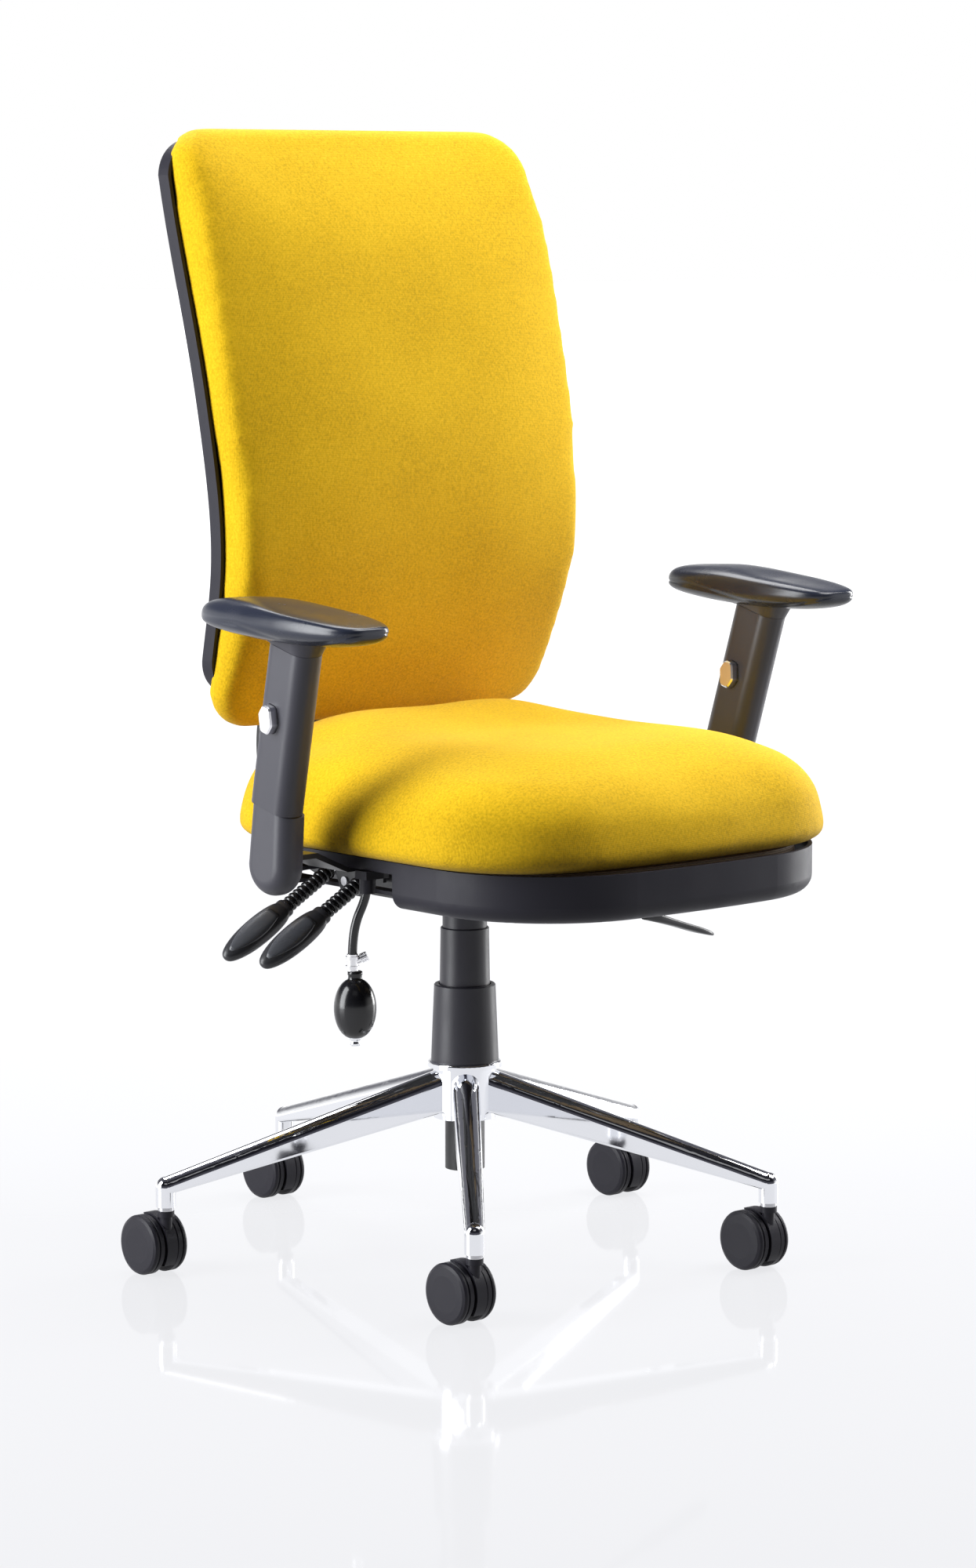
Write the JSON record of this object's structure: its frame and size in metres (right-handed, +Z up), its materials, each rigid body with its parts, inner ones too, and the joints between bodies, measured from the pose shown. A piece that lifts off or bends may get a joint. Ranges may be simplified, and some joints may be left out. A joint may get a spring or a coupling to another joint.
{
  "type": "office chair",
  "caption": "High-back office chair with upholstered seat and back, height-adjustable arms, bellows levers, lumbar hand pump, gas column and castor base.",
  "frame": {"origin": "on the floor, on the gas column's axis", "axes": "+Z up; the chair faces -Y; the sitter's right hand is at -X"},
  "size_m": [0.696, 0.7226, 1.131],
  "materials": {
    "base_chrome": "polished chrome plate",
    "bright_chrome": "polished chrome plate",
    "steel": "plain machined steel",
    "column_black": "satin black",
    "cover_plastic": "fine-grained black plastic",
    "castor_plastic": "smooth black nylon",
    "wheel_plastic": "smooth black nylon",
    "mechanism_black": "satin black powder coat",
    "bar_black": "satin black powder coat",
    "shell_plastic": "fine-grained black plastic",
    "arm_plastic": "soft satin black plastic",
    "pad_skin": "soft satin black foam skin",
    "fabric_yellow": "finely woven yellow wool",
    "board_wood": "moulded plywood",
    "black_rubber": "glossy black rubber",
    "grip_plastic": "satin black plastic"
  },
  "bodies": {
    "base": {"star_base": "base_chrome", "castor_stems": "steel", "column_tube": "column_black", "column_bush": "cover_plastic", "thrust_bearing": "steel", "cover_lower": "cover_plastic"},
    "spindle": {"piston_rod": "steel"},
    "mechanism": {"gas_cylinder": "column_black", "cover_top": "cover_plastic", "mechanism_housing": "mechanism_black", "pivot_pins": "steel"},
    "cover": {"cover_middle": "cover_plastic"},
    "valve": {"valve_pin": "steel"},
    "height_lever": {"height_lever": "grip_plastic"},
    "seat": {"seat_plate": "mechanism_black", "recline_shaft": "steel", "seat_board": "board_wood", "seat_bolts": "steel", "seat_shell": "shell_plastic", "seat_cushion": "fabric_yellow", "lever_bracket": "mechanism_black", "arm_bracket_right": "mechanism_black", "arm_bracket_left": "mechanism_black", "arm_boot_right": "arm_plastic", "arm_boot_left": "arm_plastic", "arm_sleeve_right": "arm_plastic", "arm_sleeve_left": "arm_plastic", "hose_gland": "shell_plastic", "air_hose": "black_rubber", "pump_valve": "bright_chrome", "pump_bulb": "black_rubber", "inlet_valve": "bright_chrome"},
    "release_screw": {"release_screw": "bright_chrome"},
    "back_lever": {"back_lever_rod": "steel", "back_lever_boot": "black_rubber", "back_lever_grip": "grip_plastic"},
    "tilt_lever": {"tilt_lever_rod": "steel", "tilt_lever_boot": "black_rubber", "tilt_lever_grip": "grip_plastic"},
    "arm_right": {"arm_support_right": "arm_plastic", "arm_pad_right": "pad_skin"},
    "arm_left": {"arm_support_left": "arm_plastic", "arm_pad_left": "pad_skin"},
    "button_right": {"arm_button_right": "bright_chrome"},
    "button_left": {"arm_button_left": "bright_chrome"},
    "bar": {"back_bar": "bar_black"},
    "back": {"back_carrier": "shell_plastic", "back_shell": "shell_plastic", "back_cushion": "fabric_yellow", "lumbar_bladder": "black_rubber"},
    "castor_front_right": {"castor_housing_front_right": "castor_plastic"},
    "wheels_front_right": {"castor_wheels_front_right": "wheel_plastic"},
    "castor_front": {"castor_housing_front": "castor_plastic"},
    "wheels_front": {"castor_wheels_front": "wheel_plastic"},
    "castor_left": {"castor_housing_left": "castor_plastic"},
    "wheels_left": {"castor_wheels_left": "wheel_plastic"},
    "castor_rear": {"castor_housing_rear": "castor_plastic"},
    "wheels_rear": {"castor_wheels_rear": "wheel_plastic"},
    "castor_rear_right": {"castor_housing_rear_right": "castor_plastic"},
    "wheels_rear_right": {"castor_wheels_rear_right": "wheel_plastic"}
  },
  "joints": [
    {"name": "seat_swivel", "type": "hinge", "parent": "base", "child": "spindle", "pos_m": [0, 0, 0.1], "axis": [0, 0, 1], "continuous": true},
    {"name": "gas_lift", "type": "slide", "parent": "spindle", "child": "mechanism", "axis": [0, 0, 1], "range_m": [-0.05, 0.06]},
    {"name": "cover_slide", "type": "slide", "parent": "base", "child": "cover", "axis": [0, 0, 1], "range_m": [-0.025, 0.03]},
    {"name": "valve_press", "type": "slide", "parent": "mechanism", "child": "valve", "axis": [0, 0, 1], "range_m": [-0.006, 0]},
    {"name": "height_lever_lift", "type": "hinge", "parent": "mechanism", "child": "height_lever", "pos_m": [0.044, 0, 0.391], "axis": [0, -1, 0], "range_deg": [0, 5], "stiffness_Nm_per_rad": 1.5, "springref_deg": -17.19},
    {"name": "seat_tilt", "type": "hinge", "parent": "mechanism", "child": "seat", "pos_m": [0, 0.06, 0.394], "axis": [-1, 0, 0], "range_deg": [-3, 7]},
    {"name": "back_recline", "type": "hinge", "parent": "seat", "child": "bar", "pos_m": [0, 0.095, 0.374], "axis": [-1, 0, 0], "range_deg": [-6, 17]},
    {"name": "back_height", "type": "slide", "parent": "bar", "child": "back", "axis": [0, -0.1564, 0.9877], "range_m": [0, 0.07]},
    {"name": "back_lever_lift", "type": "hinge", "parent": "seat", "child": "back_lever", "pos_m": [-0.152, 0.016, 0.4105], "axis": [0, 1, 0], "range_deg": [0, 10], "stiffness_Nm_per_rad": 0.6, "springref_deg": -17.19},
    {"name": "tilt_lever_lift", "type": "hinge", "parent": "seat", "child": "tilt_lever", "pos_m": [-0.152, -0.042, 0.4105], "axis": [0, 1, 0], "range_deg": [0, 10], "stiffness_Nm_per_rad": 0.6, "springref_deg": -17.19},
    {"name": "arm_height_right", "type": "slide", "parent": "seat", "child": "arm_right", "axis": [-0.0533, -0.2558, 0.9653], "range_m": [0, 0.07]},
    {"name": "button_press_right", "type": "slide", "parent": "seat", "child": "button_right", "axis": [0.9985, 0, 0.0551], "range_m": [0, 0.004], "stiffness_N_per_m": 400, "springref_m": -0.003},
    {"name": "arm_height_left", "type": "slide", "parent": "seat", "child": "arm_left", "axis": [0.0533, -0.2558, 0.9653], "range_m": [0, 0.07]},
    {"name": "button_press_left", "type": "slide", "parent": "seat", "child": "button_left", "axis": [0.9985, 0, -0.0551], "range_m": [0, 0.004], "stiffness_N_per_m": 400, "springref_m": -0.003},
    {"name": "air_release", "type": "hinge", "parent": "seat", "child": "release_screw", "pos_m": [-0.2298, -0.102, 0.335], "axis": [0.6842, -0.5945, 0.4226], "range_deg": [-90, 270]},
    {"name": "castor_swivel_front_right", "type": "hinge", "parent": "base", "child": "castor_front_right", "pos_m": [-0.19845, -0.24463, 0.06], "axis": [0, 0, 1], "continuous": true},
    {"name": "castor_roll_front_right", "type": "hinge", "parent": "castor_front_right", "child": "wheels_front_right", "pos_m": [-0.19845, -0.22463, 0.03], "axis": [1, 0, 0], "continuous": true},
    {"name": "castor_swivel_front", "type": "hinge", "parent": "base", "child": "castor_front", "pos_m": [0.17133, -0.26433, 0.06], "axis": [0, 0, 1], "continuous": true},
    {"name": "castor_roll_front", "type": "hinge", "parent": "castor_front", "child": "wheels_front", "pos_m": [0.17133, -0.24433, 0.03], "axis": [1, 0, 0], "continuous": true},
    {"name": "castor_swivel_left", "type": "hinge", "parent": "base", "child": "castor_left", "pos_m": [0.30434, 0.08126, 0.06], "axis": [0, 0, 1], "continuous": true},
    {"name": "castor_roll_left", "type": "hinge", "parent": "castor_left", "child": "wheels_left", "pos_m": [0.30434, 0.10126, 0.03], "axis": [1, 0, 0], "continuous": true},
    {"name": "castor_swivel_rear", "type": "hinge", "parent": "base", "child": "castor_rear", "pos_m": [0.01676, 0.31455, 0.06], "axis": [0, 0, 1], "continuous": true},
    {"name": "castor_roll_rear", "type": "hinge", "parent": "castor_rear", "child": "wheels_rear", "pos_m": [0.01676, 0.33455, 0.03], "axis": [1, 0, 0], "continuous": true},
    {"name": "castor_swivel_rear_right", "type": "hinge", "parent": "base", "child": "castor_rear_right", "pos_m": [-0.29398, 0.11314, 0.06], "axis": [0, 0, 1], "continuous": true},
    {"name": "castor_roll_rear_right", "type": "hinge", "parent": "castor_rear_right", "child": "wheels_rear_right", "pos_m": [-0.29398, 0.13314, 0.03], "axis": [1, 0, 0], "continuous": true}
  ],
  "couplings": [
    {"joint": "cover_slide", "follows": "gas_lift", "ratio": 0.5},
    {"joint": "valve_press", "follows": "height_lever_lift", "m_per_rad": -0.0505}
  ]
}
